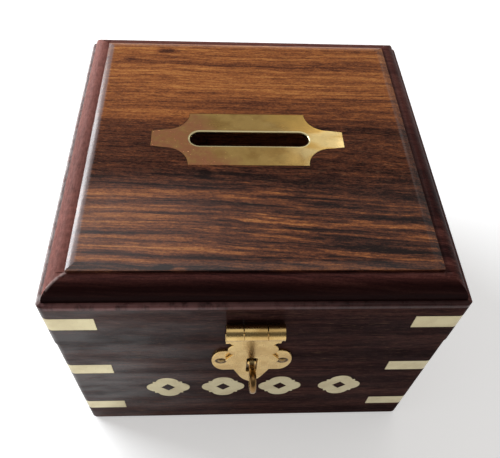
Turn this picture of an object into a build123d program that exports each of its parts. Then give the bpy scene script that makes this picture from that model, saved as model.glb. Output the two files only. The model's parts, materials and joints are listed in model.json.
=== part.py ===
from build123d import *
import math
import os

# A small hardwood money box with a moulded lid, brass inlays, a brass coin-slot plate, two brass
# butt hinges and a brass hasp that closes over a swivel eye. All lengths are in millimetres.
# +X is to the right of someone facing the box, the front faces -Y, +Z is up, and the origin is
# the centre of the underside.

# ---- case ----
case_width = 127.4
case_depth = 125.4
body_height = 69.0
wall = 9.0
corner_radius = 2.2
base_arris_radius = 1.6
base_board_thickness = 5.0
base_rebate = 4.5
inlay_thickness = 1.2
inlay_gap = 0.15

# ---- clearances ----
seam_gap = 0.25
running_clearance = 0.05
fixed_clearance = 0.02

# ---- lid ----
lid_overhang = 0.2
lid_rail_top = 91.0
top_board_thickness = 8.4
lid_width = case_width + 2 * lid_overhang
lid_depth = case_depth + 2 * lid_overhang
lid_rail_bottom = body_height + seam_gap
lid_top = lid_rail_top + top_board_thickness

# ---- moulding round the top board, worked inwards and upwards from its lower outer edge ----
fillet_height = 1.9
fillet_rounding = 0.8
ledge_width = 1.7
moulding_width = 8.5
ovolo_rise = 5.1
quirk_depth = 0.9
field_arris_width = 2.6
field_arris_drop = top_board_thickness - fillet_height - ovolo_rise - quirk_depth

# ---- corner straps ----
strap_length = 15.5
strap_height = 7.0
body_strap_bottoms = {"upper": 45.9, "lower": 12.0}
lid_strap_bottom = 79.0

# ---- ornaments: four barbed quatrefoils in a row on the front ----
ornament_centres_x = (-30.3, -9.9, 11.3, 33.9)
ornament_centre_z = 32.0
lobe_radius = 4.2
lobe_offset_x = 3.75
lobe_offset_z = 4.45
barb_half_side = 5.3
lozenge_half_width = 2.6
lozenge_half_height = 3.1

# ---- coin slot ----
plate_x = -1.5
plate_y = -0.5
plate_half_length = 33.35
plate_half_depth = 12.6
plate_body_half_length = 20.4
plate_sweep_radius = 8.2
plate_tab_half_depth = 3.7
coin_slot_length = 41.4
coin_slot_width = 6.9
coin_slot_x = -0.9
coin_slot_arris = 0.35
slot_relief = 0.6

# ---- butt hinges at the back ----
hinge_centres_x = {"left": -36.0, "right": 36.0}
hinge_length = 25.0
hinge_inset = 1.0
hinge_knuckles = 5
hinge_barrel_radius = 1.6
hinge_pin_radius = 0.8
hinge_leaf_thickness = 0.9
hinge_leaf_reach = 7.0
hinge_screw_offset_x = 8.0
hinge_screw_offset_y = 4.2
stop_bevel_deg = 52.0
knuckle_gap = 0.15
barrel_clearance = 0.25
hinge_axis_y = case_depth / 2 - hinge_inset
hinge_axis_z = body_height + seam_gap / 2

# ---- hasp: fixed leaf and swinging leaf ----
fitting_x = -0.4
hasp_width = 17.8
hasp_axis_z = 81.8
hasp_standoff = 2.75
hasp_barrel_radius = 2.6
hasp_leaf_standoff = 1.75
hasp_leaf_datum_z = 78.5
hasp_pin_radius = 0.85
hasp_leaf_thickness = 0.8
hasp_middle_knuckle = 6.9
hasp_knuckle_gap = 0.35
hasp_shoulder_gap = 0.55
hasp_axis_y = -lid_depth / 2 - hasp_standoff
hasp_leaf_front_y = -lid_depth / 2 - hasp_leaf_standoff
fixed_leaf_bottom_z = 70.2
fixed_leaf_pin_offset_x = 5.8
fixed_leaf_pin_z = 73.4
leaf_slot_width = 3.6
leaf_slot_top = 61.1
leaf_slot_bottom = 50.0
leaf_slot_corner = 0.8
shoulder_rounding = 0.9
cheek_rounding = 0.4
sheet_arris = 0.2

# ---- swinging leaf: right half of its outline, as (x, z) from the centre of the barrel ----
leaf_shoulder_foot = (9.1, -5.0)
leaf_upper_notch = (6.4, -7.8)
leaf_lobe = (8.25, -11.2)
leaf_lower_notch = (6.4, -14.7)
leaf_cheek = (9.0, -18.9)
leaf_tip_start = (3.9, -32.3)
leaf_tip = (0, -37.1)

# ---- staple plate and swivel eye ----
staple_plate_half_width = 13.6
staple_plate_half_height = 7.4
staple_plate_end = 4.2
staple_plate_thickness = 0.9
staple_z = 57.0
staple_pin_offset_x = 10.4
eye_outer_radius = 4.2
eye_hole_radius = 2.1
eye_thickness = 2.2
eye_rim_rounding = 0.9
eye_hole_rounding = 0.4
eye_centre_reach = 8.0
eye_neck_radius = 1.0
eye_neck_flare = 1.2
eye_collar_radius = 1.65
eye_collar_length = 0.7
eye_shank_radius = 1.4
eye_rivet_radius = 2.3
eye_rivet_thickness = 1.0
eye_recess_radius = 2.8
eye_recess_depth = 2.0

# ---- round-head pins and wood screws ----
pin_shank_radius = 0.7
pin_length = 6.5
pin_point_length = 1.2
dome_head_radius = 1.4
dome_height = 0.75
pin_plate_hole_radius = 0.8
pin_countersink_radius = 1.75
pin_countersink_depth = 0.7
flush_head_radius = 1.5
screw_shank_radius = 0.85
screw_head_radius = 1.7
screw_length = 8.0
screw_point_length = 2.0
screw_slot_width = 0.45
screw_slot_depth = 0.4

front_y = -case_depth / 2
lid_front_y = -lid_depth / 2

# ---- cutting shapes ----
overcut = 1.0
hole_extra_depth = 0.2
mitre_reach = 30.0
same_place = 0.01


def save(name, *solids):
    """Write one node: a single solid, or a group of separate like solids."""
    shape = solids[0] if len(solids) == 1 else Compound(list(solids))
    export_step(shape, f"parts/{name}.step")


def block(x, y, z):
    """A rectangular block between the low and high limits along each axis."""
    sides = [high - low for low, high in (x, y, z)]
    centre = [(high + low) / 2 for low, high in (x, y, z)]
    return Pos(*centre) * Box(*sides)


def centred_block(width, depth, z):
    return block((-width / 2, width / 2), (-depth / 2, depth / 2), z)


def rounded_block(width, depth, z, radius):
    solid = centred_block(width, depth, z)
    return fillet(solid.edges().filter_by(Axis.Z), radius)


def rod_x(x, y, z, radius):
    """A cylinder along X between the two values of x."""
    length = x[1] - x[0]
    return Pos((x[0] + x[1]) / 2, y, z) * Rot(Y=90) * Cylinder(radius, length)


def front_slab(sketch, outer_y, thickness):
    """A sketch in (x, z), as a slab whose outer face is at outer_y and which runs back from it."""
    return extrude(Plane.XZ.offset(-outer_y) * sketch, amount=-thickness)


def turned_along_y(x, z, points):
    """A solid of revolution about a line along Y, from (radius, y) points."""
    face = make_face(Polyline(*points, close=True))
    return Pos(x, 0, z) * revolve(face, Axis.Y)


def turned_along_z(x, y, points):
    """A solid of revolution about a line along Z, from (radius, z) points."""
    face = Plane.XZ * make_face(Polyline(*points, close=True))
    return Pos(x, y, 0) * revolve(face, Axis.Z)


# ---- boards ----


def mitre_zone(side, width, depth, z):
    """The prism between the two 45 degree mitres of one side of a frame."""
    outer_x = width / 2 + overcut
    outer_y = depth / 2 + overcut
    inner_x = outer_x - mitre_reach
    inner_y = outer_y - mitre_reach
    corners = {
        "front": [(-outer_x, -outer_y), (outer_x, -outer_y), (inner_x, -inner_y), (-inner_x, -inner_y)],
        "back": [(-outer_x, outer_y), (outer_x, outer_y), (inner_x, inner_y), (-inner_x, inner_y)],
        "left": [(-outer_x, -outer_y), (-outer_x, outer_y), (-inner_x, inner_y), (-inner_x, -inner_y)],
        "right": [(outer_x, -outer_y), (outer_x, outer_y), (inner_x, inner_y), (inner_x, -inner_y)],
    }
    face = Plane.XY.offset(z[0]) * make_face(Polyline(*corners[side], close=True))
    return extrude(face, amount=z[1] - z[0])


def body_frame():
    z = (0, body_height)
    frame = rounded_block(case_width, case_depth, z, corner_radius)
    frame = fillet(frame.faces().sort_by(Axis.Z)[0].edges(), base_arris_radius)
    inside = (case_width - 2 * wall, case_depth - 2 * wall)
    frame -= centred_block(*inside, (-overcut, body_height + overcut))
    rebate = 2 * (wall - base_rebate)
    frame -= centred_block(case_width - rebate, case_depth - rebate, (-overcut, base_board_thickness))
    return frame


def lid_frame():
    z = (lid_rail_bottom, lid_rail_top)
    frame = rounded_block(lid_width, lid_depth, z, corner_radius)
    inside = (case_width - 2 * wall, case_depth - 2 * wall)
    return frame - centred_block(*inside, (z[0] - overcut, z[1] + overcut))


def base_board():
    rebate = 2 * (wall - base_rebate)
    return centred_block(case_width - rebate, case_depth - rebate, (0, base_board_thickness))


def stop_bevel(up):
    """The wedge planed off one wood edge behind the hinge axis: the lid opens until the two meet."""
    reach = hinge_inset + lid_overhang + overcut
    rise = reach * math.tan(math.radians(stop_bevel_deg)) * up
    half = lid_width / 2 + overcut
    points = [(hinge_axis_y, hinge_axis_z), (hinge_axis_y + reach, hinge_axis_z)]
    points.append((hinge_axis_y + reach, hinge_axis_z + rise))
    face = Plane.YZ.offset(-half) * make_face(Polyline(*points, close=True))
    return extrude(face, amount=2 * half)


def moulding_profile(plane, half_width):
    """Section across the top board: square foot, ledge, ovolo, quirk and softened field."""
    foot = lid_rail_top
    ledge = foot + fillet_height
    ovolo_top = ledge + ovolo_rise
    run = moulding_width - ledge_width
    ovolo_radius = (run**2 + ovolo_rise**2) / (2 * run)
    ovolo_centre = half_width - ledge_width - ovolo_radius
    middle = math.radians(45)
    ovolo_middle = (
        ovolo_centre + ovolo_radius * math.cos(middle),
        ledge + ovolo_radius * math.sin(middle),
    )
    round_centre = (half_width - fillet_rounding, ledge - fillet_rounding)
    round_middle = (
        round_centre[0] + fillet_rounding * math.cos(middle),
        round_centre[1] + fillet_rounding * math.sin(middle),
    )
    quirk = half_width - moulding_width
    arris_inner = quirk - field_arris_width
    arris = TangentArc((arris_inner, lid_top), (quirk, ovolo_top + quirk_depth), tangent=(1, 0))
    half = Curve() + [
        Line((0, foot), (half_width, foot)),
        Line((half_width, foot), (half_width, ledge - fillet_rounding)),
        ThreePointArc((half_width, ledge - fillet_rounding), round_middle, (round_centre[0], ledge)),
        Line((round_centre[0], ledge), (half_width - ledge_width, ledge)),
        ThreePointArc((half_width - ledge_width, ledge), ovolo_middle, (quirk, ovolo_top)),
        Line((quirk, ovolo_top), (quirk, ovolo_top + quirk_depth)),
        arris,
        Line((arris_inner, lid_top), (0, lid_top)),
    ]
    return plane * make_face(half + mirror(half, Plane.YZ))


def top_board():
    """The two sections crossed give a board moulded on four sides, with sharp mitre lines."""
    long_section = extrude(moulding_profile(Plane.XZ, lid_width / 2), amount=lid_depth / 2, both=True)
    short_section = extrude(moulding_profile(Plane.YZ, lid_depth / 2), amount=lid_width / 2, both=True)
    corners = rounded_block(lid_width, lid_depth, (lid_rail_top, lid_top), corner_radius)
    board = long_section & short_section & corners
    board -= slot_prism(coin_slot_outline(slot_relief), lid_rail_top - overcut, lid_top + overcut)
    recess = offset(slot_plate_outline(), amount=inlay_gap, kind=Kind.INTERSECTION)
    return board - slot_prism(recess, lid_top - inlay_thickness, lid_top + overcut)


# ---- brass inlays ----


def slot_prism(sketch, low, high):
    return extrude(Plane.XY.offset(low) * sketch, amount=high - low)


def coin_slot_outline(grow):
    slot = SlotOverall(coin_slot_length + 2 * grow, coin_slot_width + 2 * grow)
    return Pos(coin_slot_x, plate_y) * slot


def slot_plate_outline():
    """A quarter of the plate, with its hollow sweep from the body to the end tab, mirrored twice."""
    sweep_centre = (plate_body_half_length + plate_sweep_radius, plate_half_depth)
    lean = plate_sweep_radius * math.cos(math.radians(45))
    sweep_foot = (sweep_centre[0], plate_half_depth - plate_sweep_radius)
    quarter = Curve() + [
        Line((0, plate_half_depth), (plate_body_half_length, plate_half_depth)),
        ThreePointArc(
            (plate_body_half_length, plate_half_depth),
            (sweep_centre[0] - lean, plate_half_depth - lean),
            sweep_foot,
        ),
        Line(sweep_foot, (plate_half_length, plate_tab_half_depth)),
        Line((plate_half_length, plate_tab_half_depth), (plate_half_length, 0)),
    ]
    half = quarter + mirror(quarter, Plane.XZ)
    return Pos(plate_x, plate_y) * make_face(half + mirror(half, Plane.YZ))


def slot_plate():
    bottom = lid_top - inlay_thickness
    plate = slot_prism(slot_plate_outline(), bottom, lid_top)
    plate -= slot_prism(coin_slot_outline(0), bottom - overcut, lid_top + overcut)
    top_edges = plate.faces().sort_by(Axis.Z)[-1].inner_wires()[0].edges()
    return fillet(top_edges, coin_slot_arris)


def corner_zone(width, depth, z, corner, length):
    sign_x, sign_y = corner
    x = sorted((sign_x * (width / 2 - length), sign_x * (width / 2 + overcut)))
    y = sorted((sign_y * (depth / 2 - length), sign_y * (depth / 2 + overcut)))
    return block(x, y, z)


def strap_core(width, depth, z):
    """What is left inside the straps' thickness, taller than the band it is cut from."""
    inner = (width - 2 * inlay_thickness, depth - 2 * inlay_thickness)
    return centred_block(*inner, (z[0] - overcut, z[1] + overcut))


def strap(width, depth, bottom, corner):
    """A brass strap bent round one corner and let in flush with both walls."""
    z = (bottom, bottom + strap_height)
    band = rounded_block(width, depth, z, corner_radius)
    band -= strap_core(width, depth, z)
    return band & corner_zone(width, depth, z, corner, strap_length)


def strap_groove(width, depth, bottom, corner):
    z = (bottom - inlay_gap, bottom + strap_height + inlay_gap)
    band = centred_block(width + overcut, depth + overcut, z)
    band -= strap_core(width, depth, z)
    return band & corner_zone(width, depth, z, corner, strap_length + inlay_gap)


def quatrefoil(grow):
    """Four round lobes with a small barb in each hollow between them."""
    sketch = Rectangle(2 * (barb_half_side + grow), 2 * (barb_half_side + grow))
    for side in (-1, 1):
        sketch += Pos(side * lobe_offset_x, 0) * Circle(lobe_radius + grow)
        sketch += Pos(0, side * lobe_offset_z) * Circle(lobe_radius + grow)
    return sketch


def lozenge(grow):
    width = lozenge_half_width + grow
    height = lozenge_half_height + grow
    return make_face(Polyline((-width, 0), (0, -height), (width, 0), (0, height), close=True))


def ornament(x):
    """A pierced brass quatrefoil, let in flush, with the wood standing up through its centre."""
    return front_slab(Pos(x, ornament_centre_z) * (quatrefoil(0) - lozenge(0)), front_y, inlay_thickness)


def ornament_recess(x):
    sketch = Pos(x, ornament_centre_z) * (quatrefoil(inlay_gap) - lozenge(-inlay_gap))
    return front_slab(sketch, front_y - overcut, inlay_thickness + overcut)


# ---- fasteners ----


def countersink_depth(radius):
    """How far below the sheet's face the countersink has narrowed to this radius."""
    narrowing = (pin_countersink_radius - pin_plate_hole_radius) / pin_countersink_depth
    return (pin_countersink_radius - radius) / narrowing


def pin_below_head(face_y, head_radius):
    """The outline of a pin as (radius, y), from the rim of its head, seated in a countersink, to its point."""
    seat_y = face_y + countersink_depth(head_radius)
    neck_y = face_y + countersink_depth(pin_shank_radius + fixed_clearance)
    tip_y = face_y + pin_length
    return [
        (head_radius - fixed_clearance, seat_y),
        (pin_shank_radius, neck_y),
        (pin_shank_radius, tip_y - pin_point_length),
        (0, tip_y),
    ]


def pin(x, z, face_y, head_radius):
    """A flat-headed pin driven back from face_y."""
    points = pin_below_head(face_y, head_radius)
    return turned_along_y(x, z, [(0, points[0][1])] + points)


def domed_pin(x, z, face_y):
    """A pin with a round head, a low cap of a ball."""
    points = pin_below_head(face_y, dome_head_radius)
    rim, seat_y = points[0]
    ball_radius = (rim**2 + dome_height**2) / (2 * dome_height)
    crown = (0, seat_y - dome_height)
    lean = math.asin(rim / ball_radius) / 2
    middle = (ball_radius * math.sin(lean), crown[1] + ball_radius * (1 - math.cos(lean)))
    head = ThreePointArc(crown, middle, points[0])
    outline = Curve() + [head, Polyline(*points), Line(points[-1], crown)]
    return Pos(x, 0, z) * revolve(make_face(outline), Axis.Y)


def pin_hole(x, z, surface_y):
    """The hole that a pin drives in wood, from the wood's surface to just past the pin's point."""
    start = surface_y - overcut
    end = surface_y + pin_length + hole_extra_depth
    radius = pin_shank_radius + fixed_clearance
    return turned_along_y(x, z, [(0, start), (radius, start), (radius, end), (0, end)])


def countersink(x, z, face_y, thickness):
    """Clearance hole and cone through a sheet whose outer face is at face_y."""
    hole = pin_plate_hole_radius
    wide = pin_countersink_radius
    back = face_y + thickness + overcut
    points = [(0, face_y - overcut), (wide, face_y - overcut), (wide, face_y)]
    points += [(hole, face_y + pin_countersink_depth), (hole, back), (0, back)]
    return turned_along_y(x, z, points)


def screw(x, y, head_z, into):
    """A slotted countersunk screw driven along Z: into is -1 for down and +1 for up."""
    sink = screw_head_radius - screw_shank_radius
    shank_end = screw_length - screw_point_length
    outline = [(0, 0), (screw_head_radius, 0), (screw_shank_radius, sink), (screw_shank_radius, shank_end)]
    outline.append((0, screw_length))
    body = turned_along_z(x, y, [(radius, head_z + into * depth) for radius, depth in outline])
    slot = (x - screw_head_radius, x + screw_head_radius)
    width = (y - screw_slot_width / 2, y + screw_slot_width / 2)
    return body - block(slot, width, sorted((head_z - into, head_z + into * screw_slot_depth)))


def screw_hole(x, y, head_z, into):
    head = screw_head_radius + fixed_clearance
    shank = screw_shank_radius + fixed_clearance
    end = screw_length + hole_extra_depth
    outline = [(0, -overcut), (head + overcut, -overcut), (shank, head - shank), (shank, end), (0, end)]
    return turned_along_z(x, y, [(radius, head_z + into * depth) for radius, depth in outline])


# ---- butt hinges ----


def hinge_knuckle_spans(centre_x, leaf):
    """The knuckles of one leaf: the lower leaf has the first, third and fifth."""
    pitch = hinge_length / hinge_knuckles
    start = centre_x - hinge_length / 2
    first = 0 if leaf == "lower" else 1
    spans = []
    for index in range(first, hinge_knuckles, 2):
        low = start + index * pitch + (knuckle_gap / 2 if index else 0)
        high = start + (index + 1) * pitch - (knuckle_gap / 2 if index < hinge_knuckles - 1 else 0)
        spans.append((low, high))
    return spans


def hinge_screw_places(centre_x):
    y = hinge_axis_y - hinge_screw_offset_y
    return [(centre_x + side * hinge_screw_offset_x, y) for side in (-1, 1)]


def hinge_leaf_z(leaf):
    if leaf == "lower":
        return (body_height - hinge_leaf_thickness, body_height)
    return (lid_rail_bottom, lid_rail_bottom + hinge_leaf_thickness)


def hinge_leaf(centre_x, leaf):
    """A flat leaf whose tongues run into its own knuckles and stop clear of the other leaf's."""
    z = hinge_leaf_z(leaf)
    clear = hinge_barrel_radius + barrel_clearance
    x = (centre_x - hinge_length / 2, centre_x + hinge_length / 2)
    plate = block(x, (hinge_axis_y - hinge_leaf_reach, hinge_axis_y - clear), z)
    bore = hinge_pin_radius + (fixed_clearance if leaf == "lower" else running_clearance)
    spans = hinge_knuckle_spans(centre_x, leaf)
    for span in spans:
        plate += block(span, (hinge_axis_y - hinge_leaf_reach, hinge_axis_y), z)
        plate += rod_x(span, hinge_axis_y, hinge_axis_z, hinge_barrel_radius)
    plate -= rod_x((x[0] - overcut, x[1] + overcut), hinge_axis_y, hinge_axis_z, bore)
    head_z, into = (z[1], -1) if leaf == "lower" else (z[0], 1)
    for place in hinge_screw_places(centre_x):
        plate -= screw_hole(*place, head_z, into)
    return plate


def hinge_mortise(centre_x, leaf):
    """The seat for a leaf and the round groove for the barrel, cut in the edge of the wood."""
    low, high = hinge_leaf_z(leaf)
    outward = (low, high + overcut) if leaf == "lower" else (low - overcut, high)
    reach = hinge_length / 2 + inlay_gap
    x = (centre_x - reach, centre_x + reach)
    seat = block(x, (hinge_axis_y - hinge_leaf_reach - inlay_gap, case_depth), outward)
    groove = rod_x(x, hinge_axis_y, hinge_axis_z, hinge_barrel_radius + barrel_clearance)
    return seat + groove


def hinge_pin(centre_x):
    x = (centre_x - hinge_length / 2, centre_x + hinge_length / 2)
    return rod_x(x, hinge_axis_y, hinge_axis_z, hinge_pin_radius)


# ---- hasp ----


def hasp_span():
    return (fitting_x - hasp_width / 2, fitting_x + hasp_width / 2)


def hasp_fixed_leaf():
    """A plate on the lid's front whose top edge is rolled into the two outer knuckles."""
    low, high = hasp_span()
    middle = hasp_middle_knuckle / 2
    inner = middle + hasp_knuckle_gap
    spans = [(low, fitting_x - inner), (fitting_x + inner, high)]
    y = (lid_front_y - hasp_leaf_thickness, lid_front_y)
    clear_z = hasp_axis_z - hasp_barrel_radius - barrel_clearance
    leaf = block((low, high), y, (fixed_leaf_bottom_z, clear_z))
    for span in spans:
        leaf += block(span, y, (fixed_leaf_bottom_z, hasp_axis_z))
        leaf += rod_x(span, hasp_axis_y, hasp_axis_z, hasp_barrel_radius)
    bore = hasp_pin_radius + fixed_clearance
    leaf -= rod_x((low - overcut, high + overcut), hasp_axis_y, hasp_axis_z, bore)
    for side in (-1, 1):
        x = fitting_x + side * fixed_leaf_pin_offset_x
        leaf -= countersink(x, fixed_leaf_pin_z, y[0], hasp_leaf_thickness)
    return leaf


def swing_leaf_outline():
    """The cut outline, as half of it in (x, z) from the leaf's datum height, mirrored."""
    neck = hasp_middle_knuckle / 2
    neck_top = hasp_axis_z - hasp_leaf_datum_z
    shoulder_top = neck_top - hasp_barrel_radius - hasp_shoulder_gap
    taper = (leaf_tip_start[0] - leaf_cheek[0], leaf_tip_start[1] - leaf_cheek[1])
    half = Curve() + [
        Line((0, neck_top), (neck, neck_top)),
        Line((neck, neck_top), (neck, shoulder_top)),
        Line((neck, shoulder_top), (leaf_shoulder_foot[0], shoulder_top)),
        Line((leaf_shoulder_foot[0], shoulder_top), leaf_shoulder_foot),
        Line(leaf_shoulder_foot, leaf_upper_notch),
        ThreePointArc(leaf_upper_notch, leaf_lobe, leaf_lower_notch),
        Line(leaf_lower_notch, leaf_cheek),
        Line(leaf_cheek, leaf_tip_start),
        TangentArc(leaf_tip_start, leaf_tip, tangent=taper),
    ]
    outline = make_face(half + mirror(half, Plane.YZ))
    feet = [v for v in outline.vertices() if abs(v.Y - leaf_shoulder_foot[1]) < same_place]
    outline = fillet(feet, shoulder_rounding)
    cheeks = [v for v in outline.vertices() if abs(v.Y - leaf_cheek[1]) < same_place]
    outline = fillet(cheeks, cheek_rounding)
    return Pos(fitting_x, hasp_leaf_datum_z) * outline


def hasp_swing_leaf():
    """The pierced leaf that closes over the swivel eye, rolled round the pin at its middle knuckle."""
    leaf = front_slab(swing_leaf_outline(), hasp_leaf_front_y, hasp_leaf_thickness)
    slot_height = leaf_slot_top - leaf_slot_bottom
    slot = RectangleRounded(leaf_slot_width, slot_height, leaf_slot_corner)
    slot = Pos(fitting_x, (leaf_slot_top + leaf_slot_bottom) / 2) * slot
    leaf -= front_slab(slot, hasp_leaf_front_y - overcut, hasp_leaf_thickness + 2 * overcut)
    leaf = fillet(leaf.faces().sort_by(Axis.Y)[0].edges(), sheet_arris)
    half = hasp_middle_knuckle / 2
    leaf += rod_x((fitting_x - half, fitting_x + half), hasp_axis_y, hasp_axis_z, hasp_barrel_radius)
    bore = hasp_pin_radius + running_clearance
    return leaf - rod_x(hasp_span(), hasp_axis_y, hasp_axis_z, bore)


def hasp_pin():
    return rod_x(hasp_span(), hasp_axis_y, hasp_axis_z, hasp_pin_radius)


# ---- staple plate and swivel eye ----


def staple_plate():
    """A blunt oval plate with a pin hole in each ear and a bore for the eye's shank."""
    straight = staple_plate_half_width - staple_plate_end
    sketch = Rectangle(2 * straight, 2 * staple_plate_half_height)
    for side in (-1, 1):
        sketch += Pos(side * straight, 0) * Ellipse(staple_plate_end, staple_plate_half_height)
    outer_y = front_y - staple_plate_thickness
    plate = front_slab(Pos(fitting_x, staple_z) * sketch, outer_y, staple_plate_thickness)
    plate = fillet(plate.faces().sort_by(Axis.Y)[0].edges(), sheet_arris)
    bore = Pos(fitting_x, staple_z) * Circle(eye_shank_radius + running_clearance)
    plate -= front_slab(bore, outer_y - overcut, staple_plate_thickness + 2 * overcut)
    for side in (-1, 1):
        x = fitting_x + side * staple_pin_offset_x
        plate -= countersink(x, staple_z, outer_y, staple_plate_thickness)
    return plate


def swivel_eye():
    """A cast ring on a collared shank, riveted over behind the plate so that it turns in it."""
    plate_front = front_y - staple_plate_thickness
    centre_y = front_y - eye_centre_reach
    rim = eye_outer_radius - eye_hole_radius
    section = Pos(0, eye_hole_radius + rim / 2) * Rectangle(eye_thickness, rim)
    section = fillet(section.vertices().sort_by(Axis.Y)[:2], eye_hole_rounding)
    section = fillet(section.vertices().sort_by(Axis.Y)[-2:], eye_rim_rounding)
    ring = Pos(fitting_x, centre_y, staple_z) * revolve(section, Axis.X)
    collar_back = plate_front - running_clearance
    rivet_front = front_y + running_clearance
    neck_front = centre_y + (eye_hole_radius + eye_outer_radius) / 2
    shank = turned_along_y(
        fitting_x,
        staple_z,
        [
            (0, rivet_front + eye_rivet_thickness),
            (eye_rivet_radius, rivet_front + eye_rivet_thickness),
            (eye_rivet_radius, rivet_front),
            (eye_shank_radius, rivet_front),
            (eye_shank_radius, collar_back),
            (eye_collar_radius, collar_back),
            (eye_collar_radius, collar_back - eye_collar_length),
            (eye_neck_radius, collar_back - eye_collar_length - eye_neck_flare),
            (eye_neck_radius, neck_front),
            (0, neck_front),
        ],
    )
    return ring + shank


def eye_recess():
    """The blind hole in the front board for the riveted end of the shank."""
    start = front_y - overcut
    end = front_y + eye_recess_depth
    points = [(0, start), (eye_recess_radius, start), (eye_recess_radius, end), (0, end)]
    return turned_along_y(fitting_x, staple_z, points)


# ---- build and write ----

os.makedirs("parts", exist_ok=True)

corners = {
    "front_left": (-1, -1),
    "front_right": (1, -1),
    "back_left": (-1, 1),
    "back_right": (1, 1),
}
staple_face_y = front_y - staple_plate_thickness
fixed_leaf_face_y = lid_front_y - hasp_leaf_thickness
staple_pins_x = [fitting_x + side * staple_pin_offset_x for side in (-1, 1)]
fixed_leaf_pins_x = [fitting_x + side * fixed_leaf_pin_offset_x for side in (-1, 1)]

body = body_frame() - stop_bevel(-1) - eye_recess()
lid = lid_frame() - stop_bevel(1)
for corner in corners.values():
    for bottom in body_strap_bottoms.values():
        body -= strap_groove(case_width, case_depth, bottom, corner)
    lid -= strap_groove(lid_width, lid_depth, lid_strap_bottom, corner)
for x in ornament_centres_x:
    body -= ornament_recess(x)
for x in staple_pins_x:
    body -= pin_hole(x, staple_z, front_y)
for x in fixed_leaf_pins_x:
    lid -= pin_hole(x, fixed_leaf_pin_z, lid_front_y)
for centre_x in hinge_centres_x.values():
    body -= hinge_mortise(centre_x, "lower")
    lid -= hinge_mortise(centre_x, "upper")
    for place in hinge_screw_places(centre_x):
        body -= screw_hole(*place, body_height, -1)
        lid -= screw_hole(*place, lid_rail_bottom, 1)

lid_rail_z = (lid_rail_bottom, lid_rail_top)
for side in ("front", "back", "left", "right"):
    save(f"body_{side}_board", body & mitre_zone(side, case_width, case_depth, (0, body_height)))
    save(f"lid_{side}_rail", lid & mitre_zone(side, lid_width, lid_depth, lid_rail_z))
save("base_board", base_board())
save("lid_top_board", top_board())
save("coin_slot_plate", slot_plate())

for name, corner in corners.items():
    for level, bottom in body_strap_bottoms.items():
        save(f"body_strap_{level}_{name}", strap(case_width, case_depth, bottom, corner))
    save(f"lid_strap_{name}", strap(lid_width, lid_depth, lid_strap_bottom, corner))
for number, x in enumerate(ornament_centres_x, 1):
    save(f"front_ornament_{number}", ornament(x))

for side, centre_x in hinge_centres_x.items():
    save(f"hinge_{side}_lower_leaf", hinge_leaf(centre_x, "lower"))
    save(f"hinge_{side}_upper_leaf", hinge_leaf(centre_x, "upper"))
    save(f"hinge_{side}_pin", hinge_pin(centre_x))
screw_places = [place for centre_x in hinge_centres_x.values() for place in hinge_screw_places(centre_x)]
save("hinge_screws_in_body", *[screw(*place, body_height, -1) for place in screw_places])
save("hinge_screws_in_lid", *[screw(*place, lid_rail_bottom, 1) for place in screw_places])

save("hasp_fixed_leaf", hasp_fixed_leaf())
save("hasp_swing_leaf", hasp_swing_leaf())
save("hasp_pin", hasp_pin())
leaf_pins = [pin(x, fixed_leaf_pin_z, fixed_leaf_face_y, flush_head_radius) for x in fixed_leaf_pins_x]
save("hasp_leaf_pins", *leaf_pins)

save("staple_plate", staple_plate())
save("staple_pins", *[domed_pin(x, staple_z, staple_face_y) for x in staple_pins_x])
save("swivel_eye", swivel_eye())
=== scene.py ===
import json

import bpy
from mathutils import Matrix, Vector


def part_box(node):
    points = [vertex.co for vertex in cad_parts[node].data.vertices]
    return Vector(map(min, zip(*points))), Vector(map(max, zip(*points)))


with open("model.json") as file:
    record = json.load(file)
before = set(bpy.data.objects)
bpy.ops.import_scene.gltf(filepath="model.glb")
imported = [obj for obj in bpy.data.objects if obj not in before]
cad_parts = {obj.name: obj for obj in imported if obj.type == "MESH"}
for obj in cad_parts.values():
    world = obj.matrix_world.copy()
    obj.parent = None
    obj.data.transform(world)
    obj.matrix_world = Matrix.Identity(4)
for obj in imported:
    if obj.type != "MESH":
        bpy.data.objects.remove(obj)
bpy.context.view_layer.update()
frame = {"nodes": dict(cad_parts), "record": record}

MM = 0.001

# ---- camera: the photograph's place in mm, its directions and its lens, in the row frame ----
CAMERA_PLACE = (-11.737, -142.634, 234.735)
CAMERA_RIGHT = (0.998399, -0.033478, 0.045589)
CAMERA_DOWN = (0.000927, -0.796226, -0.604999)
CAMERA_FORWARD = (0.056554, 0.604073, -0.794920)
LENS = 40.266
SENSOR = 36.0

# ---- floor and lights ----
WORLD_COLOUR = (1.0, 0.985, 0.97)
HORIZON_STRENGTH = 0.85
WALLS_STRENGTH = 0.34
ZENITH_STRENGTH = 0.8
FRONT_WALL_STRENGTH = 0.12
FLOOR_COLOUR = (0.86, 0.855, 0.85)
FLOOR_GLOW = 0.5
FLOOR_DROP = 0.0002
FLOOR_SIZE = 3.0
LIGHT_TARGET = (0.0, 0.0, 0.05)


# ---- node helpers ----


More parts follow.
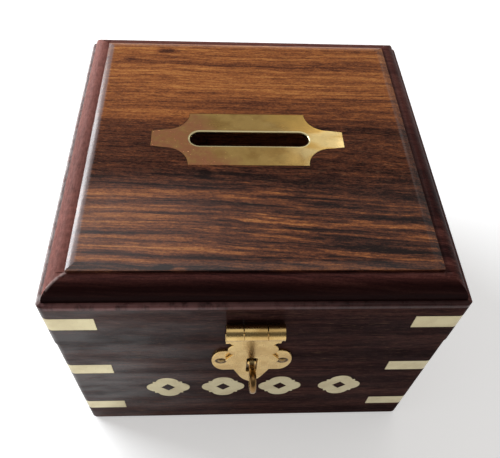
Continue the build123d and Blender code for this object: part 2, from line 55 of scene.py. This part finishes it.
class Tree:
    """The node tree of a material or a world, built by calls that return sockets."""

    def __init__(self, owner):
        owner.use_nodes = True
        self.owner = owner
        self.nodes = owner.node_tree.nodes
        self.links = owner.node_tree.links
        self.nodes.clear()

    def coords(self, kind="Object"):
        return self.nodes.new("ShaderNodeTexCoord").outputs[kind]

    def set(self, socket, value):
        if isinstance(value, bpy.types.NodeSocket):
            self.links.new(value, socket)
        elif isinstance(value, (tuple, list)) and len(value) == 3 and socket.type == "RGBA":
            socket.default_value = (*value, 1.0)
        else:
            socket.default_value = value

    def node(self, kind, inputs=None, **settings):
        made = self.nodes.new(kind)
        for key, value in settings.items():
            setattr(made, key, value)
        for key, value in (inputs or {}).items():
            self.set(made.inputs[key], value)
        return made

    def math(self, operation, a, b=0.0, clamp=False):
        return self.node("ShaderNodeMath", {0: a, 1: b}, operation=operation, use_clamp=clamp).outputs[0]

    def vector_math(self, operation, a, b):
        return self.node("ShaderNodeVectorMath", {0: a, 1: b}, operation=operation).outputs[0]

    def mapped(self, vector, scale, turn=(0, 0, 0)):
        inputs = {"Vector": vector, "Scale": scale, "Rotation": turn}
        return self.node("ShaderNodeMapping", inputs).outputs[0]

    def length(self, x, y):
        """How far the point x, y is from 0, 0."""
        flat = self.join(x, y, 0.0)
        return self.node("ShaderNodeVectorMath", {0: flat}, operation="LENGTH").outputs["Value"]

    def times(self, first, *others):
        """The product of all of them."""
        for other in others:
            first = self.math("MULTIPLY", first, other)
        return first

    def distance(self, a, b):
        return self.math("ABSOLUTE", self.math("SUBTRACT", a, b))

    def noise(self, vector, scale=1.0, detail=2.0, rough=0.5, offset=0.0):
        moved = self.vector_math("ADD", vector, (offset, offset * 0.7, offset * 1.3))
        inputs = {"Vector": moved, "Scale": scale, "Detail": detail, "Roughness": rough}
        return self.node("ShaderNodeTexNoise", inputs).outputs[0]

    def spread(self, value, low, high, to_low=0.0, to_high=1.0, smooth=True):
        """value from low to high becomes to_low to to_high, and stays level beyond them."""
        kind = "SMOOTHSTEP" if smooth else "LINEAR"
        inputs = {"Value": value, "From Min": low, "From Max": high, "To Min": to_low, "To Max": to_high}
        return self.node("ShaderNodeMapRange", inputs, interpolation_type=kind).outputs[0]

    def ramp(self, value, stops, kind="LINEAR"):
        made = self.node("ShaderNodeValToRGB", {"Fac": value})
        ramp = made.color_ramp
        ramp.interpolation = kind
        ramp.elements.remove(ramp.elements[1])
        ramp.elements[0].position = stops[0][0]
        for index, (place, colour) in enumerate(stops):
            element = ramp.elements.new(place) if index else ramp.elements[0]
            element.color = (*colour, 1.0) if isinstance(colour, tuple) else (colour, colour, colour, 1.0)
        return made.outputs[0]

    def mix(self, factor, a, b):
        made = self.node("ShaderNodeMix", data_type="RGBA")
        self.set(made.inputs[0], factor)
        self.set(made.inputs[6], a)
        self.set(made.inputs[7], b)
        return made.outputs[2]

    def split(self, vector):
        return self.node("ShaderNodeSeparateXYZ", {0: vector}).outputs

    def join(self, x, y, z):
        return self.node("ShaderNodeCombineXYZ", {0: x, 1: y, 2: z}).outputs[0]

    def bump(self, height, distance, normal=None):
        inputs = {"Height": height, "Distance": distance, "Strength": 1.0}
        if normal is not None:
            inputs["Normal"] = normal
        return self.node("ShaderNodeBump", inputs).outputs[0]

    def surface(self, **inputs):
        names = {key.replace("_", " ").title().replace("Ior", "IOR"): value for key, value in inputs.items()}
        self.finish("ShaderNodeOutputMaterial", self.node("ShaderNodeBsdfPrincipled", names).outputs[0])
        return self.owner

    def finish(self, kind, shader):
        self.node(kind, {"Surface": shader})


# ---- wood ----

# half the width that the bands across a board are laid out over, in mm
BOARD_HALF = 64.0
PORE = (0.012, 0.005, 0.004)
FLECK = (0.5, 0.28, 0.15)
# bump depths, in metres
GRAIN_DEPTH = 0.00005
LACQUER_DEPTH = 0.00003
LACQUER_IOR = 1.45


def wood(name, along, stops, tone, bands=0.2, streaks=0.2, hairs=0.15, mottle=0.0, speckle=0.0, lines=0.0,
         slant=None, figure=(), trim=None, shift=0.0, coat=0.5, satin=0.1, sheen=0.08):
    """Open-grained rosewood under clear lacquer. along is the axis the grain runs on. tone, streaks and
    lines are numbers, or lists of (place across the grain in mm, value) where the board changes. slant is
    how far the grain leans at the back and at the front. figure is a list of soft patches, and trim paints
    over the wood and gives the lacquer's amount and roughness."""
    t = Tree(bpy.data.materials.new(name))
    point = t.mapped(t.coords(), (1 / MM, 1 / MM, 1 / MM))
    x, y, z = t.split(point)
    run, across = (x, y) if along == "x" else (y, x)

    def field(run_scale, cross_scale, side, up, detail, rough=0.55, offset=0.0):
        """Noise stretched along the grain, centred on 0 and spread to about -1 to 1."""
        where = t.join(
            t.math("MULTIPLY", run, run_scale),
            t.math("MULTIPLY", side, cross_scale),
            t.math("MULTIPLY", up, cross_scale),
        )
        found = t.noise(where, detail=detail, rough=rough, offset=shift + offset)
        return t.math("MULTIPLY", t.math("SUBTRACT", found, 0.5), 4.0)

    # slow wander of the grain lines, the same for every layer below
    wander = field(0.012, 0.028, across, z, 2.0, offset=1.0)
    waver = field(0.045, 0.10, across, z, 2.0, offset=3.0)
    sway = t.math("ADD", t.math("MULTIPLY", wander, 1.8), t.math("MULTIPLY", waver, 0.25))
    if slant:
        lean = t.spread(across, 24.0, -24.0, slant[0], slant[1])
        sway = t.math("ADD", sway, t.math("MULTIPLY", run, lean))
    v = t.math("ADD", across, sway)
    w = t.math("ADD", z, t.math("MULTIPLY", sway, 0.6))

    def along_board(value):
        if not isinstance(value, list):
            return value
        stops_at = [((at + BOARD_HALF) / (2 * BOARD_HALF), level) for at, level in value]
        return t.ramp(t.spread(v, -BOARD_HALF, BOARD_HALF, smooth=False), stops_at, "B_SPLINE")

    band = field(0.009, 0.13, v, w, 2.0, offset=11.0)
    streak = field(0.009, 0.75, v, w, 4.0, 0.6, offset=23.0)
    hair = field(0.12, 3.0, v, w, 3.0, 0.7, offset=37.0)
    level = t.math("ADD", along_board(tone), t.math("MULTIPLY", band, bands))
    level = t.math("ADD", level, t.math("MULTIPLY", streak, along_board(streaks)))
    level = t.math("ADD", level, t.math("MULTIPLY", hair, hairs))
    blotch = field(0.17, 0.75, v, w, 3.0, 0.6, offset=61.0)
    level = t.math("ADD", level, t.math("MULTIPLY", blotch, mottle))
    grains = field(1.1, 2.6, across, z, 2.0, 0.7, offset=71.0)
    level = t.math("ADD", level, t.math("MULTIPLY", grains, speckle))

    for centre, half, lighter in figure:
        off_x, off_y = (t.math("SUBTRACT", at, middle) for at, middle in zip((x, y), centre))
        far = t.length(t.math("DIVIDE", off_x, half[0]), t.math("DIVIDE", off_y, half[1]))
        ragged = t.math("ADD", far, t.math("MULTIPLY", blotch, 0.18))
        level = t.math("ADD", level, t.spread(ragged, 0.2, 1.15, lighter, 0.0))

    # sharper pale streaks with a dark line along one side, where the board has them
    ridge = field(0.0045, 0.42, v, w, 3.0, 0.55, offset=43.0)
    pale = t.spread(ridge, 0.1, 0.55)
    dark = t.spread(ridge, -0.25, -0.6)
    swing = t.math("SUBTRACT", pale, dark)
    level = t.math("ADD", level, t.math("MULTIPLY", swing, along_board(lines)))
    colour = t.ramp(level, stops)

    # pores: short dark dashes along the grain, and paler flecks between them
    pore = field(0.25, 4.2, v, w, 2.0, 0.5, offset=51.0)
    pits = t.spread(pore, 0.35, 0.8)
    flecks = t.spread(pore, -0.45, -0.9)
    colour = t.mix(t.math("MULTIPLY", pits, 0.55), colour, PORE)
    colour = t.mix(t.math("MULTIPLY", flecks, 0.3), colour, t.mix(0.5, colour, FLECK))
    if trim:
        colour, coat, satin = trim(t, colour, level, x, y)

    height = t.math("SUBTRACT", t.math("MULTIPLY", hair, 0.3), t.math("MULTIPLY", pits, 0.7))
    height = t.math("ADD", height, t.math("MULTIPLY", streak, 0.2))
    under = t.bump(height, GRAIN_DEPTH)
    flow = t.noise(point, scale=0.05, detail=3.0, offset=shift + 7.0)
    film = t.math("ADD", t.math("MULTIPLY", height, 0.15), t.math("MULTIPLY", flow, 1.2))
    lacquer = t.bump(film, LACQUER_DEPTH)
    gloss = t.noise(point, scale=0.09, detail=3.0, offset=shift + 19.0)
    if isinstance(coat, tuple):
        worn = t.noise(t.mapped(point, (0.05, 0.05, 0.16)), scale=1.0, detail=3.0, offset=shift + 29.0)
        coat = t.math("MULTIPLY", t.spread(x, *coat), t.spread(worn, 0.3, 0.7, 0.55, 1.35))
        coat = t.math("MULTIPLY", coat, t.spread(z, 2.0, 30.0, 0.45, 1.1))
    return t.surface(
        base_color=colour,
        roughness=t.spread(hair, -1.0, 1.0, 0.42, 0.62),
        specular_ior_level=sheen,
        normal=under,
        coat_weight=coat,
        coat_ior=LACQUER_IOR,
        coat_roughness=t.math("MULTIPLY", satin, t.spread(gloss, 0.3, 0.7, 0.7, 1.4)),
        coat_normal=lacquer,
    )


WALL_STOPS = [
    (0.0, (0.010, 0.004, 0.004)),
    (0.4, (0.025, 0.0115, 0.0115)),
    (0.65, (0.050, 0.021, 0.018)),
    (1.0, (0.105, 0.045, 0.034)),
]
TOP_STOPS = [
    (0.0, (0.010, 0.003, 0.002)),
    (0.2, (0.052, 0.017, 0.010)),
    (0.45, (0.140, 0.044, 0.019)),
    (0.72, (0.34, 0.112, 0.034)),
    (1.0, (0.56, 0.23, 0.066)),
]
# how light the field is, and how streaked, from the front edge to the back one
TOP_TONE = [
    (-64, 0.36), (-50, 0.40), (-38, 0.42), (-28, 0.32), (-18, 0.17), (-6, 0.22), (4, 0.33),
    (12, 0.46), (20, 0.66), (36, 0.72), (42, 0.60), (48, 0.74), (64, 0.66),
]
TOP_STREAKS = [(-64, 0.34), (-24, 0.30), (-14, 0.12), (4, 0.18), (16, 0.28), (64, 0.26)]
TOP_LINES = [(-64, 0.34), (-26, 0.34), (-18, 0.06), (0, 0.0), (64, 0.05)]
# the flat field inside the moulding, half its size along X and Y in mm
MOULDING_WIDTH = 8.5
FIELD_HALF = tuple(corner / MM - MOULDING_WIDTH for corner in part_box("lid_top_board")[1][:2])
BORDER_STOPS = [
    (0.0, (0.022, 0.006, 0.006)),
    (0.5, (0.075, 0.021, 0.017)),
    (1.0, (0.16, 0.055, 0.042)),
]
# lacquer on the top board, from the field out to the moulding's edge: (place out from the field's edge
# in mm, amount), and the same for how rough it is. PROFILE_REACH is how far the places may go
BORDER_COAT = [
    (-3.0, 0.05), (-2.4, 0.7), (-0.3, 0.7), (0.3, 0.16), (1.6, 0.10), (2.6, 0.01), (6.7, 0.0), (7.0, 0.35),
]
BORDER_SATIN = [(-3.0, 0.30), (-2.2, 0.24), (0.0, 0.16), (6.4, 0.16), (6.9, 0.25)]
PROFILE_REACH = 10.0
# painted highlight on the moulding's outer ledge: reddish along most of it, a pale grey reflection on the
# left
LEDGE_HIGHLIGHT_COLOUR = (0.20, 0.085, 0.08)
LEFT_LEDGE_REFLECTION = ((0.24, 0.19, 0.185), (0.42, 0.37, 0.36))
# a painted highlight along the front left mitre
MITRE_HIGHLIGHT_COLOUR = (0.46, 0.33, 0.31)
# painted shade for the front of the moulding's slope, painted light for its left side, and a painted
# highlight for the field's left arris
SHADED_MOULDING = (0.010, 0.003, 0.003)
LIT_MOULDING = (0.34, 0.135, 0.11)
ARRIS_HIGHLIGHT = (0.19, 0.13, 0.125)
# painted shade in the crease below the moulding's slope
CREASE_SHADE_COLOUR = (0.014, 0.005, 0.005)
# a painted sheen mixed into the front of the field, and the extra lacquer where it is painted
PAINTED_SHEEN_COLOUR = (0.40, 0.34, 0.33)
SHEEN_PATCH_GLOSS = 0.45
# soft patches in the field's figure: (centre in mm, half size in mm, how much lighter)
FIGURE = [
    ((-32.0, 49.5), (5.5, 2.2), -0.42),
    ((-45.0, 43.5), (4.5, 1.8), -0.28),
    ((-38.0, 13.0), (34.0, 10.0), 0.17),
    ((-16.0, -17.0), (3.2, 3.0), -0.3),
    ((-27.0, -1.0), (8.0, 5.0), -0.12),
    ((42.0, 41.0), (22.0, 4.0), -0.14),
    ((-40.0, -42.0), (34.0, 18.0), 0.20),
    ((40.0, -44.0), (38.0, 16.0), -0.24),
    ((-27.5, -53.4), (3.5, 1.1), -0.5),
    ((-23.0, -53.9), (3.0, 0.7), 0.5),
]


def moulded_border(t, colour, level, x, y):
    """The moulding round the field is darker and redder and glossier; it has painted shade at its front,
    painted light at its left, painted highlights on its ledge, on its front left mitre and on the field's
    left arris, painted shade in the crease below its slope, and a painted sheen on the front of the field.
    """
    out_x = t.math("SUBTRACT", t.math("ABSOLUTE", x), FIELD_HALF[0])
    out_y = t.math("SUBTRACT", t.math("ABSOLUTE", y), FIELD_HALF[1])
    out = t.math("MAXIMUM", out_x, out_y)
    mitre = t.math("SUBTRACT", out_x, out_y)

    def profile(stops):
        stops_at = [((at + PROFILE_REACH) / (2 * PROFILE_REACH), value) for at, value in stops]
        return t.ramp(t.spread(out, -PROFILE_REACH, PROFILE_REACH, smooth=False), stops_at)

    border = t.spread(out, -0.1, 0.1)
    left_end = t.spread(x, -50.0, -51.0)
    front_end = t.spread(y, -49.0, -50.0)
    left = t.math("MULTIPLY", left_end, t.spread(mitre, -0.2, 0.2))
    front = t.math("MULTIPLY", front_end, t.spread(mitre, 0.2, -0.2))
    patchiness = t.noise(t.join(x, y, 0.0), scale=0.35, detail=4.0, rough=0.6, offset=5.0)
    stretched = t.join(t.math("MULTIPLY", x, 2.0), t.math("MULTIPLY", y, 0.5), 0.0)
    fine = t.noise(stretched, detail=3.0, offset=8.0)

    # painted sheen on the front of the field, most towards the left, where the lacquer is also glossier
    sheen_patch = t.math("MULTIPLY", sheen_patch_area(t, x, y), t.math("SUBTRACT", 1.0, border))
    colour = t.mix(t.math("MULTIPLY", sheen_patch, 0.13), colour, PAINTED_SHEEN_COLOUR)

    # the moulding's slope, with painted shade at the front and painted light at the left, and a painted
    # highlight on the field's left arris
    red = t.ramp(level, BORDER_STOPS)
    shaded = t.mix(t.spread(out, 0.8, 5.5, 0.0, 0.85), red, SHADED_MOULDING)
    lit = t.mix(t.spread(fine, 0.3, 0.7, 0.3, 0.6), red, LIT_MOULDING)
    red = t.mix(left, t.mix(front, red, shaded), lit)
    colour = t.mix(border, colour, red)
    # a painted highlight on the field's left arris
    arris_highlight_mask = t.math("MULTIPLY", left, t.spread(out, -2.7, -1.9))
    arris_highlight_mask = t.math("SUBTRACT", arris_highlight_mask, border, clamp=True)
    colour = t.mix(t.math("MULTIPLY", arris_highlight_mask, 0.7), colour, ARRIS_HIGHLIGHT)

    # painted shade in the crease below the slope, a painted highlight on the ledge outside it, and a painted
    # highlight along the front left mitre
    crease_shade_mask = t.math("SUBTRACT", t.spread(out, 6.2, 6.5), t.spread(out, 6.8, 7.1))
    colour = t.mix(t.math("MULTIPLY", crease_shade_mask, 0.8), colour, CREASE_SHADE_COLOUR)
    # the ledge's painted highlight, broken up by noise and brighter towards the left
    ledge_highlight_mask = t.math("MULTIPLY", t.spread(out, 6.9, 7.2), t.spread(patchiness, 0.2, 0.6))
    ledge_highlight_mask = t.math("MULTIPLY", ledge_highlight_mask, t.spread(x, 50.0, -50.0, 0.2, 0.9))
    pale = t.mix(t.spread(fine, 0.35, 0.65), *LEFT_LEDGE_REFLECTION)
    colour = t.mix(ledge_highlight_mask, colour, t.mix(left, LEDGE_HIGHLIGHT_COLOUR, pale))
    # a painted highlight along the front left mitre, broken up by noise
    mitre_highlight_mask = t.times(t.spread(t.math("ABSOLUTE", mitre), 1.0, 0.1), left_end, border, front_end)
    colour = t.mix(t.math("MULTIPLY", mitre_highlight_mask, t.spread(patchiness, 0.42, 0.6, 0.0, 0.8)), colour, MITRE_HIGHLIGHT_COLOUR)

    gloss = t.math("ADD", profile(BORDER_COAT), t.math("MULTIPLY", sheen_patch, SHEEN_PATCH_GLOSS))
    return colour, gloss, profile(BORDER_SATIN)


def sheen_patch_area(t, x, y):
    """Where a sheen is painted on the front of the field, most of all towards the left, and where its
    lacquer is glossier.
    """
    return t.math("MULTIPLY", t.spread(x, 20.0, -55.0, 0.2, 1.0), t.spread(y, -12.0, -34.0))


# the lacquer is thickest at the left of the front and thins out to the right
WALL_COAT = (-60.0, 10.0, 0.50, 0.04)
WALL = {"stops": WALL_STOPS, "tone": 0.5, "bands": 0.28, "mottle": 0.16, "speckle": 0.12,
        "satin": 0.08, "sheen": 0.0}
WALL_X = wood("rosewood_wall_x", "x", shift=2.0, coat=WALL_COAT, **WALL)
WALL_Y = wood("rosewood_wall_y", "y", shift=5.0, coat=0.2, **WALL)
TOP = wood("rosewood_top", "x", TOP_STOPS, TOP_TONE, bands=0.15, streaks=TOP_STREAKS, hairs=0.20,
           mottle=0.13, speckle=0.2, lines=TOP_LINES, slant=(0.01, 0.065), figure=FIGURE,
           trim=moulded_border, shift=9.0, sheen=0.03)
BASE = wood("plain_base", "x", TOP_STOPS, 0.6, shift=14.0)


# ---- brass ----

PIT = (0.10, 0.06, 0.03)
# painted shade on the hasp: round the pins, behind the leaf's slot, and on the pins' heads
HASP_SHADE = (0.05, 0.025, 0.012)
PIN_HEAD_SHADE = (0.10, 0.055, 0.02)
# painted shade on the upper part of the hasp's eye
EYE_TOP_SHADE = (0.16, 0.075, 0.03)
# the coin plate: red tarnish that also stands in for a dark reflection at its left end, and clean brass that
# also stands in for a bright reflection at its right end
RED_TARNISH_AND_DARK_REFLECTION = (0.62, 0.26, 0.13)
CLEAN_BRASS_AND_REFLECTION = ((0.92, 0.70, 0.32), (0.80, 0.50, 0.14))
# a painted highlight on the rim round the coin slot
RIM_HIGHLIGHT = (1.0, 0.86, 0.48)
# bump depths, in metres
WAVE_DEPTH = 0.0004
SCRATCH_DEPTH = 0.00002


def brass(name, colour, dull, rough, grain=(0.4, 0.4, 0.4), scratch=0.3, tint=None):
    """Worked brass: polishing lines, dull patches and small pits."""
    t = Tree(bpy.data.materials.new(name))
    point = t.mapped(t.coords(), (1 / MM, 1 / MM, 1 / MM))
    lines = t.noise(t.mapped(point, grain), scale=1.0, detail=4.0, rough=0.6)
    patches = t.noise(point, scale=0.16, detail=3.0, offset=4.0)
    pits = t.noise(point, scale=2.4, detail=2.0, offset=9.0)
    pit = t.spread(pits, 0.66, 0.74)
    shade = t.mix(t.spread(patches, 0.35, 0.7), colour, dull)
    shade = t.mix(t.math("MULTIPLY", pit, 0.45), shade, PIT)
    if tint:
        shade = tint(t, shade, point)
    height = t.math("SUBTRACT", t.math("MULTIPLY", lines, scratch), t.math("MULTIPLY", pit, 0.8))
    waves = t.noise(point, scale=0.07, detail=1.0, offset=2.0)
    normal = t.bump(waves, WAVE_DEPTH, normal=t.bump(height, SCRATCH_DEPTH))
    worn = t.math("ADD", patches, t.math("MULTIPLY", lines, 0.4))
    return t.surface(
        base_color=shade,
        metallic=1.0,
        roughness=t.spread(worn, 0.4, 1.0, *rough),
        normal=normal,
    )


# the coin slot in its plate, in mm: its middle, half its straight run and its end radius
SLOT_PLACE = (-0.9, -0.5)
SLOT_HALF = 17.25
SLOT_RADIUS = 3.45
# the hasp, in mm: its middle, its pins to each side, the middle of its leaf's slot and the plate's face
FITTING_X = -0.4
PIN_OFFSET = 10.4
PIN_HEIGHT = 57.0
LEAF_SLOT_HEIGHT = 55.5
PLATE_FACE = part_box("staple_plate")[0].y / MM


def plate_tint(t, shade, point):
    """Redder tarnish at the left end that also stands in for a dark reflection, cleaner brass at the right
    that also stands in for a bright reflection, and a painted highlight on the rim round the slot.
    """
    x, y, _ = t.split(point)
    drift = t.noise(point, scale=0.1, detail=4.0, offset=31.0)
    drift = t.math("MULTIPLY", t.math("SUBTRACT", drift, 0.5), 16.0)
    place = t.math("ADD", t.math("ADD", x, drift), t.math("MULTIPLY", y, 0.5))
    # red tarnish towards the left end, also standing in for a dark reflection
    tarnish_and_reflection = t.noise(point, scale=0.5, detail=4.0, rough=0.65, offset=37.0)
    tarnish_and_reflection = t.math("MULTIPLY", t.spread(place, -9.0, -19.0), t.spread(tarnish_and_reflection, 0.3, 0.62, 0.45, 0.95))
    shade = t.mix(tarnish_and_reflection, shade, RED_TARNISH_AND_DARK_REFLECTION)
    # cleaner, brighter brass towards the right end, also standing in for a bright reflection
    swirl = t.noise(t.mapped(point, (0.05, 0.14, 0.1), turn=(0, 0, 0.6)), scale=1.0, detail=2.0, offset=43.0)
    swirl = t.mix(t.spread(swirl, 0.42, 0.58), *CLEAN_BRASS_AND_REFLECTION)
    shade = t.mix(t.spread(place, 8.0, 16.0, 0.0, 0.9), shade, swirl)

    # the painted highlight on the rim, measured outwards from the slot's middle line
    along = t.math("SUBTRACT", t.distance(x, SLOT_PLACE[0]), SLOT_HALF)
    from_slot = t.length(t.math("MAXIMUM", along, 0.0), t.math("SUBTRACT", y, SLOT_PLACE[1]))
    rim_highlight_mask = t.spread(from_slot, SLOT_RADIUS + 0.75, SLOT_RADIUS + 0.45)
    return t.mix(rim_highlight_mask, shade, RIM_HIGHLIGHT)


def hasp_painted_shade(t, shade, point):
    """Painted shade on and round the pins, on the plate inside the leaf's slot and on the top of the eye."""
    x, y, z = t.split(point)
    off = t.math("SUBTRACT", t.distance(x, FITTING_X), PIN_OFFSET)
    away = t.length(off, t.math("SUBTRACT", z, PIN_HEIGHT))

    # a ring of painted shade on the plate round each pin, and painted shade on the pins' heads
    on_plate = t.spread(y, PLATE_FACE - 0.2, PLATE_FACE - 0.05)
    pin_ring_mask = t.times(t.spread(away, 0.95, 1.3), t.spread(away, 2.3, 1.8), on_plate)
    shade = t.mix(t.math("MULTIPLY", pin_ring_mask, 0.92), shade, HASP_SHADE)
    pin_head_mask = t.times(t.spread(away, 1.8, 1.2), t.spread(y, PLATE_FACE + 0.05, PLATE_FACE - 0.1))
    shade = t.mix(t.math("MULTIPLY", pin_head_mask, 0.72), shade, PIN_HEAD_SHADE)

    # painted shade on the plate behind the leaf's slot, and on the upper part of the eye's ring in front of
    # the leaf
    slot_shade_mask = t.times(
        t.spread(t.distance(x, FITTING_X), 2.0, 1.5),
        t.spread(t.distance(z, LEAF_SLOT_HEIGHT), 6.0, 5.2),
        t.spread(y, PLATE_FACE - 0.15, PLATE_FACE - 0.05),
    )
    shade = t.mix(t.math("MULTIPLY", slot_shade_mask, 0.9), shade, HASP_SHADE)
    # painted shade on the upper part of the eye's ring
    eye_shade_mask = t.times(t.spread(z, 54.0, 57.0), t.spread(z, 64.0, 62.5), t.spread(y, -64.9, -65.3))
    return t.mix(t.math("MULTIPLY", eye_shade_mask, 0.75), shade, EYE_TOP_SHADE)


INLAY = brass("brass_inlay", (0.63, 0.555, 0.34), (0.55, 0.47, 0.285), (0.28, 0.4), (0.05, 1.5, 1.5))
SLOT_PLATE = brass("brass_slot_plate", (0.78, 0.51, 0.17), (0.52, 0.31, 0.095), (0.14, 0.28),
                   (0.06, 3.0, 3.0), 0.5, tint=plate_tint)
HASP = brass("brass_hasp", (0.72, 0.505, 0.205), (0.57, 0.37, 0.135), (0.2, 0.34), (1.5, 1.5, 0.15),
             tint=hasp_painted_shade)
HINGE = brass("brass_hinge", (0.70, 0.54, 0.26), (0.55, 0.41, 0.20), (0.28, 0.42), (0.3, 1.5, 1.5))

MATERIALS = {
    "wood_top": TOP,
    "wood_base": BASE,
    "brass_inlay": INLAY,
    "brass_slot_plate": SLOT_PLATE,
    "brass_hasp": HASP,
    "brass_hinge": HINGE,
}
slot_of = {part["node"]: part["material_slot"] for part in frame["record"]["subparts"]}
for name, thing in frame["nodes"].items():
    slot = slot_of[name]
    if slot == "wood_wall":
        material = WALL_X if ("front" in name or "back" in name) else WALL_Y
    else:
        material = MATERIALS[slot]
    for place in thing.material_slots:
        place.material = material


# ---- floor, light and camera ----


def floor():
    mesh = bpy.data.meshes.new("floor")
    half = FLOOR_SIZE / 2
    corners = [(-half, -half), (half, -half), (half, half), (-half, half)]
    mesh.from_pydata([(x, y, -FLOOR_DROP) for x, y in corners], [], [(0, 1, 2, 3)])
    made = bpy.data.objects.new("floor", mesh)
    bpy.context.scene.collection.objects.link(made)
    t = Tree(bpy.data.materials.new("pale_floor"))
    mesh.materials.append(
        t.surface(
            base_color=FLOOR_COLOUR,
            roughness=0.9,
            specular_ior_level=0.1,
            emission_color=FLOOR_COLOUR,
            emission_strength=FLOOR_GLOW,
        )
    )


def area_light(name, place, size, watts, colour):
    data = bpy.data.lights.new(name, "AREA")
    data.shape = "RECTANGLE"
    data.size, data.size_y = size
    data.energy = watts
    data.color = colour
    made = bpy.data.objects.new(name, data)
    made.location = place
    made.rotation_euler = (Vector(LIGHT_TARGET) - Vector(place)).to_track_quat("-Z", "Y").to_euler()
    bpy.context.scene.collection.objects.link(made)


def camera():
    data = bpy.data.cameras.new("camera")
    data.sensor_width = SENSOR
    data.lens = LENS
    data.clip_start = 0.01
    made = bpy.data.objects.new("camera", data)
    columns = [Vector(CAMERA_RIGHT), -Vector(CAMERA_DOWN), -Vector(CAMERA_FORWARD)]
    turned = Matrix(columns).transposed().to_4x4()
    made.matrix_world = Matrix.Translation(Vector(CAMERA_PLACE) * MM) @ turned
    bpy.context.scene.collection.objects.link(made)
    bpy.context.scene.camera = made


def studio():
    """A soft room: bright near the floor and straight overhead, dim half way up, and dark on the side that
    the box faces."""
    t = Tree(bpy.data.worlds.new("studio"))
    _, depth, height = t.split(t.coords("Generated"))
    low = t.spread(height, 0.02, 0.3, HORIZON_STRENGTH, WALLS_STRENGTH)
    high = t.spread(height, 0.88, 0.97, 0.0, ZENITH_STRENGTH - WALLS_STRENGTH)
    room = t.math("ADD", low, high)
    front = t.math("MULTIPLY", t.spread(depth, -0.2, -0.5), t.spread(height, 0.05, 0.25))
    strength = t.math("ADD", t.math("MULTIPLY", room, t.math("SUBTRACT", 1.0, front)),
                      t.math("MULTIPLY", front, FRONT_WALL_STRENGTH))
    shader = t.node("ShaderNodeBackground", {"Color": WORLD_COLOUR, "Strength": strength}).outputs[0]
    t.finish("ShaderNodeOutputWorld", shader)
    bpy.context.scene.world = t.owner
    bpy.context.scene.view_settings.view_transform = "Standard"


studio()

floor()
area_light("window", (-0.75, 0.5, 0.42), (0.7, 0.5), 14.0, (0.93, 0.965, 1.0))
area_light("card", (0.37, 0.69, 0.75), (0.34, 0.34), 0.36, (1.0, 0.97, 0.92))
camera()
